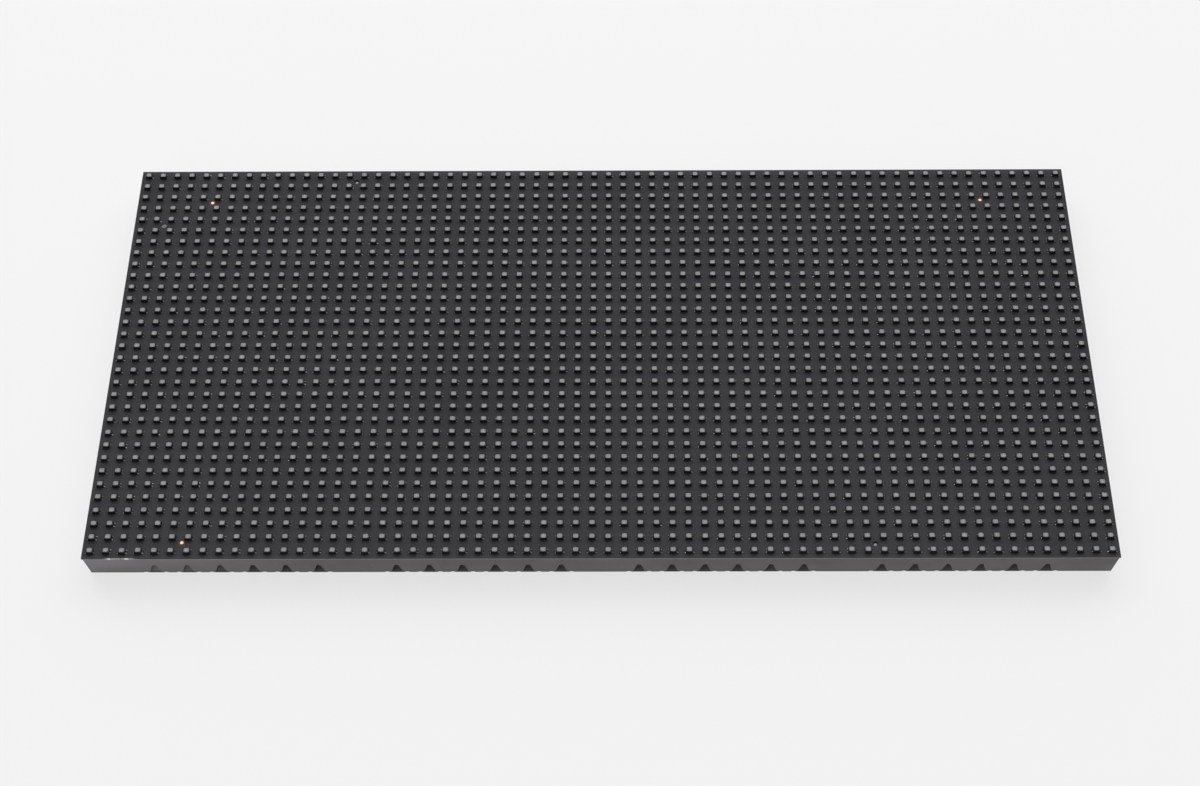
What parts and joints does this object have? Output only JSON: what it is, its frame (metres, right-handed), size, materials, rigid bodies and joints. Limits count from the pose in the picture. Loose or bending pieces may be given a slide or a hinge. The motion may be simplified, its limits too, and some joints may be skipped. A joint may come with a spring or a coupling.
{
  "type": "flexible led module",
  "caption": "Thin bendable display panel: a grid of surface-mount LEDs on a flexible board, backed by a soft notched shell with magnets and plug sockets.",
  "frame": {"origin": "centre of the back plane that the module lies on", "axes": "+X along the long side, +Y up the face, +Z out of the LED face"},
  "size_m": [0.2558, 0.128, 0.0092],
  "materials": {
    "shell_rubber": "soft matte moulded rubber",
    "board_mask": "matte black board mask",
    "led_package": "black package with a frosted window",
    "magnet_nickel": "bright nickel plate",
    "chip_epoxy": "matte moulded epoxy with tinned leads",
    "capacitor_can": "satin can on a black base",
    "capacitor_ceramic": "tan ceramic with tinned ends",
    "resistor_black": "black glaze with tinned ends",
    "socket_black": "satin moulded plastic",
    "socket_white": "satin moulded plastic",
    "contact_gold": "gold flash",
    "contact_tin": "bright tin"
  },
  "bodies": {
    "root": {"soft_shell": "shell_rubber", "circuit_board": "board_mask", "magnets": "magnet_nickel", "data_in_socket": "socket_black", "data_out_socket": "socket_black", "power_socket": "socket_white", "data_in_pins": "contact_gold", "data_out_pins": "contact_gold", "power_pins": "contact_tin", "decoupling_capacitors": "capacitor_ceramic", "setting_resistors": "resistor_black", "leds_upper_left": "led_package", "leds_upper_right": "led_package", "leds_lower_left": "led_package", "leds_lower_right": "led_package", "driver_1": "chip_epoxy", "driver_2": "chip_epoxy", "driver_3": "chip_epoxy", "driver_4": "chip_epoxy", "driver_5": "chip_epoxy", "driver_6": "chip_epoxy", "driver_7": "chip_epoxy", "driver_8": "chip_epoxy", "driver_9": "chip_epoxy", "driver_10": "chip_epoxy", "driver_11": "chip_epoxy", "driver_12": "chip_epoxy", "driver_13": "chip_epoxy", "driver_14": "chip_epoxy", "driver_15": "chip_epoxy", "driver_16": "chip_epoxy", "driver_17": "chip_epoxy", "driver_18": "chip_epoxy", "driver_19": "chip_epoxy", "driver_20": "chip_epoxy", "driver_21": "chip_epoxy", "driver_22": "chip_epoxy", "driver_23": "chip_epoxy", "driver_24": "chip_epoxy", "row_switch_1": "chip_epoxy", "row_switch_2": "chip_epoxy", "row_switch_3": "chip_epoxy", "row_switch_4": "chip_epoxy", "bus_buffer_1": "chip_epoxy", "bus_buffer_2": "chip_epoxy", "bus_buffer_3": "chip_epoxy", "bulk_capacitor_1": "capacitor_can", "bulk_capacitor_2": "capacitor_can", "bulk_capacitor_3": "capacitor_can", "bulk_capacitor_4": "capacitor_can"}
  },
  "joints": []
}
